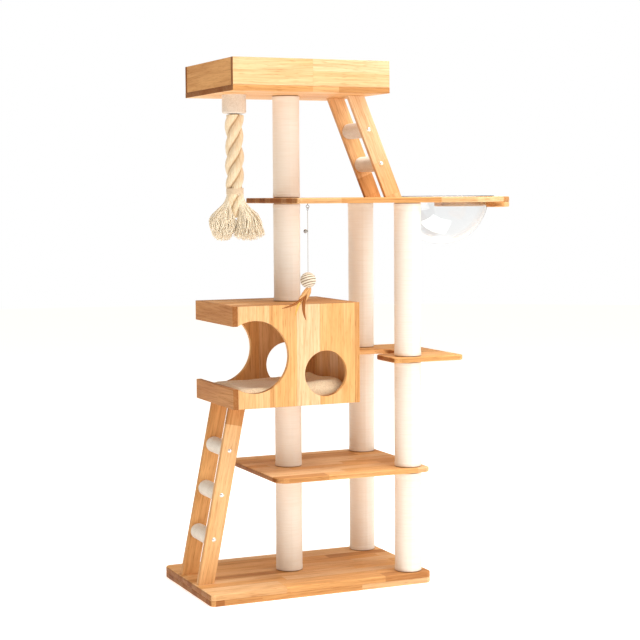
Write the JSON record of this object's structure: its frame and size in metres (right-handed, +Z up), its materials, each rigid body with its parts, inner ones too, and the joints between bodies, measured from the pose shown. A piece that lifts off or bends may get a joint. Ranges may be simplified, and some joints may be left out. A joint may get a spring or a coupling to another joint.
{
  "type": "cat tree",
  "caption": "Tall wooden cat tree: wrapped posts, shelves, open-ended house, ladders, clear lift-out bowl, top tray, hanging rope and feather toy.",
  "frame": {"origin": "centre of the base underside, on the floor", "axes": "+Z up, +X towards the bowl end, +Y away from the front where the toy hangs"},
  "size_m": [1.202, 0.477, 1.763],
  "materials": {
    "honey_wood": "satin oiled laminated boards",
    "canvas": "woven cotton canvas",
    "paper_tube": "raw paper tube",
    "raw_wood": "raw beech",
    "zinc_steel": "zinc plated",
    "polished_steel": "polished",
    "grey_plush": "short plush",
    "beige_plush": "short plush",
    "clear_acrylic": "clear, polished",
    "cotton_rope": "twisted strands, frayed ends",
    "binding_cord": "tight winding",
    "elastic_string": "braided",
    "wound_cord": "wound cord",
    "feathers": "barbed feathers"
  },
  "bodies": {
    "tree": {"base_plinth": "honey_wood", "base_board": "honey_wood", "middle_shelf": "honey_wood", "step_shelf": "honey_wood", "deck": "honey_wood", "deck_rim": "honey_wood", "low_left_wrap": "canvas", "low_rear_wrap": "canvas", "low_right_wrap": "canvas", "mid_left_wrap": "canvas", "mid_rear_wrap": "canvas", "mid_right_wrap": "canvas", "high_left_wrap": "canvas", "high_rear_wrap": "canvas", "high_right_wrap": "canvas", "top_left_wrap": "canvas", "low_post_cores": "paper_tube", "mid_post_cores": "paper_tube", "high_post_cores": "paper_tube", "top_post_core": "paper_tube", "post_plugs": "raw_wood", "post_bolts": "zinc_steel", "joining_studs": "zinc_steel", "house_floor": "honey_wood", "house_roof": "honey_wood", "house_front": "honey_wood", "house_back": "honey_wood", "house_right_wall": "honey_wood", "house_upper_strip": "honey_wood", "house_lower_strip": "honey_wood", "house_dowels": "raw_wood", "house_mat": "beige_plush", "tray_bottom": "honey_wood", "tray_front": "honey_wood", "tray_back": "honey_wood", "tray_left_side": "honey_wood", "tray_right_side": "honey_wood", "tray_dowels": "raw_wood", "lower_front_rail": "honey_wood", "lower_rear_rail": "honey_wood", "lower_rungs_core": "raw_wood", "lower_rungs_wrap": "grey_plush", "upper_front_rail": "honey_wood", "upper_rear_rail": "honey_wood", "upper_rungs_core": "raw_wood", "upper_rungs_wrap": "grey_plush", "ladder_bolts": "polished_steel", "wood_screws": "zinc_steel", "rope_holder": "raw_wood", "rope_holder_wrap": "grey_plush", "toy_eye_screw": "polished_steel"},
    "bowl": {"bowl": "clear_acrylic"},
    "rope": {"rope": "cotton_rope", "rope_binding": "binding_cord", "rope_tufts": "cotton_rope"},
    "toy_link": {"toy_ring": "polished_steel"},
    "toy": {"toy_string": "elastic_string", "toy_bell": "polished_steel", "toy_ball": "wound_cord", "toy_feathers": "feathers"}
  },
  "joints": [
    {"name": "bowl_lift", "type": "slide", "parent": "tree", "child": "bowl", "axis": [0, 0, 1], "range_m": [0, 0.25]},
    {"name": "rope_swing", "type": "hinge", "parent": "tree", "child": "rope", "pos_m": [-0.214, 0, 1.5662], "axis": [0, 1, 0], "range_deg": [-5, 30]},
    {"name": "toy_fore_swing", "type": "hinge", "parent": "tree", "child": "toy_link", "pos_m": [-0.042, -0.213, 1.2808], "axis": [1, 0, 0], "range_deg": [-40, 4]},
    {"name": "toy_side_swing", "type": "hinge", "parent": "toy_link", "child": "toy", "pos_m": [-0.042, -0.213, 1.2732], "axis": [0, 1, 0], "range_deg": [-40, 40]}
  ]
}
